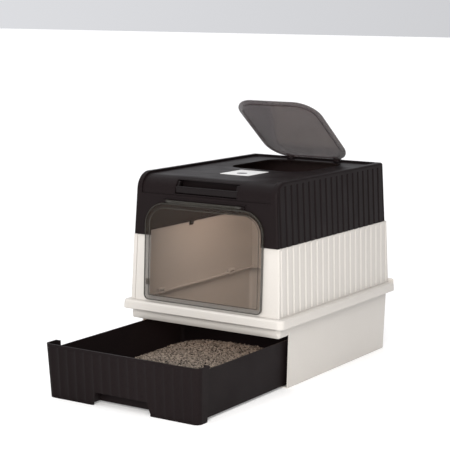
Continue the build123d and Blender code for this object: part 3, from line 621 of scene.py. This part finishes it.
class LITTERBOX_OT_stage(bpy.types.Operator):
    """Lay the pale floor, the soft lights and the camera"""

    bl_idname = "litterbox.stage"
    bl_label = "Stage"

    FLOOR_HALF = 30.0
    FLOOR_GREY = (0.86, 0.86, 0.86)
    FLOOR_GLOW = 0.2             # evens out the soft shadows
    TOP_SPREAD = math.radians(100)

    def execute(self, context):
        settings = context.scene.litterbox_stage
        self.floor()
        self.light("key_light", "AREA", (1.3, -3.1, 1.5), settings.key_power,
                   aim=(0.0, -0.1, 0.25), size=1.4, color=(1.0, 0.975, 0.94))
        self.light("side_light", "AREA", (1.1, -1.1, 0.35), settings.side_power,
                   aim=(0.2, -0.25, 0.2), size=0.3, color=(1.0, 0.97, 0.93))
        self.light("cabin_light", "AREA", (0.0, 0.0, 0.405), settings.cabin_power,
                   aim=(0.0, 0.10, 0.0), size=0.22, color=(1.0, 0.75, 0.60))
        self.light("top_light", "SUN", (0.0, 0.0, 4.0), settings.top_strength,
                   aim=(0.0, 0.0, 0.0), angle=self.TOP_SPREAD)
        self.surround(context.scene, settings)
        self.camera(context)
        context.scene.view_settings.view_transform = "Standard"
        return {"FINISHED"}

    def floor(self):
        mesh = bpy.data.meshes.new("floor")
        half = self.FLOOR_HALF
        mesh.from_pydata([(-half, -half, 0), (half, -half, 0), (half, half, 0), (-half, half, 0)],
                         [], [(0, 1, 2, 3)])
        floor = bpy.data.objects.new("floor", mesh)
        bpy.context.scene.collection.objects.link(floor)
        paper = Finish("floor_paper", self.FLOOR_GREY, 0.9, Emission_Color=(1.0, 1.0, 1.0, 1.0),
                       Emission_Strength=self.FLOOR_GLOW, Specular_IOR_Level=0.1)
        mesh.materials.append(paper.material)

    @staticmethod
    def surround(scene, settings):
        """A studio surround that is brighter on the left than on the right."""
        world = bpy.data.worlds.new("surround")
        scene.world = world
        world.use_nodes = True
        tree = world.node_tree
        place = tree.nodes.new("ShaderNodeTexCoord")
        split = tree.nodes.new("ShaderNodeSeparateXYZ")
        tree.links.new(place.outputs["Generated"], split.inputs["Vector"])
        share = tree.nodes.new("ShaderNodeMapRange")
        share.inputs["From Min"].default_value = -1.0
        share.inputs["From Max"].default_value = 1.0
        tree.links.new(split.outputs["X"], share.inputs["Value"])
        ramp = tree.nodes.new("ShaderNodeValToRGB")
        ramp.color_ramp.elements[0].color = (*settings.surround_left, 1.0)
        ramp.color_ramp.elements[1].color = (*settings.surround_right, 1.0)
        tree.links.new(share.outputs["Result"], ramp.inputs["Fac"])
        tree.links.new(ramp.outputs["Color"], tree.nodes["Background"].inputs["Color"])

    @staticmethod
    def light(name, kind, at, power, aim, **settings):
        """A light at one place that points at another and stays out of the picture."""
        data = bpy.data.lights.new(name, kind)
        data.energy = power
        for key, value in settings.items():
            setattr(data, key, value)
        light = bpy.data.objects.new(name, data)
        light.visible_camera = False
        bpy.context.scene.collection.objects.link(light)
        light.location = at
        way = Vector(aim) - Vector(at)
        light.rotation_euler = way.to_track_quat("-Z", "Y").to_euler()

    @staticmethod
    def camera(context):
        """The camera that took the fitted view."""
        azimuth, elevation = math.radians(CAMERA_AZIMUTH), math.radians(CAMERA_ELEVATION)
        forward = Vector((-math.sin(azimuth) * math.cos(elevation),
                          math.cos(azimuth) * math.cos(elevation), -math.sin(elevation)))
        level = Vector((math.cos(azimuth), math.sin(azimuth), 0.0))
        up = level.cross(forward)
        roll = math.radians(CAMERA_ROLL)
        across = math.cos(roll) * level + math.sin(roll) * up
        upward = -math.sin(roll) * level + math.cos(roll) * up
        data = bpy.data.cameras.new("camera")
        data.sensor_width = SENSOR_MM
        data.lens = FOCAL_PX / IMAGE_SIDE_PX * SENSOR_MM
        camera = bpy.data.objects.new("camera", data)
        context.scene.collection.objects.link(camera)
        turn = Matrix((across, upward, -forward)).transposed().to_4x4()
        camera.matrix_world = Matrix.Translation(CAMERA_AT) @ turn
        context.scene.camera = camera


OPERATORS = (LITTERBOX_OT_walls, LITTERBOX_OT_cover, LITTERBOX_OT_drawer, LITTERBOX_OT_handle,
             LITTERBOX_OT_windows, LITTERBOX_OT_pins, LITTERBOX_OT_litter, LITTERBOX_OT_label,
             LITTERBOX_OT_stage)
SETTINGS = {"litterbox_shell": ShellSettings, "litterbox_litter": LitterSettings,
            "litterbox_stage": StageSettings}


class LITTERBOX_PT_panel(bpy.types.Panel):
    """Lists the settings and the steps that build the litter box"""

    bl_idname = "LITTERBOX_PT_panel"
    bl_label = "Litter Box"
    bl_space_type = "VIEW_3D"
    bl_region_type = "UI"
    bl_category = "Litter Box"

    def draw(self, context):
        for name, group in SETTINGS.items():
            settings = getattr(context.scene, name)
            box = self.layout.box()
            for prop in group.__annotations__:
                box.prop(settings, prop)
        for operator in OPERATORS:
            self.layout.operator(operator.bl_idname)


def register():
    for cls in (*SETTINGS.values(), *OPERATORS, LITTERBOX_PT_panel):
        bpy.utils.register_class(cls)
    for name, group in SETTINGS.items():
        setattr(bpy.types.Scene, name, bpy.props.PointerProperty(type=group))


def unregister():
    for name in SETTINGS:
        delattr(bpy.types.Scene, name)
    for cls in reversed((*SETTINGS.values(), *OPERATORS, LITTERBOX_PT_panel)):
        bpy.utils.unregister_class(cls)


def main():
    register()
    for operator in OPERATORS:
        group, call = operator.bl_idname.split(".")
        getattr(getattr(bpy.ops, group), call)()


if __name__ == "__main__":
    main()
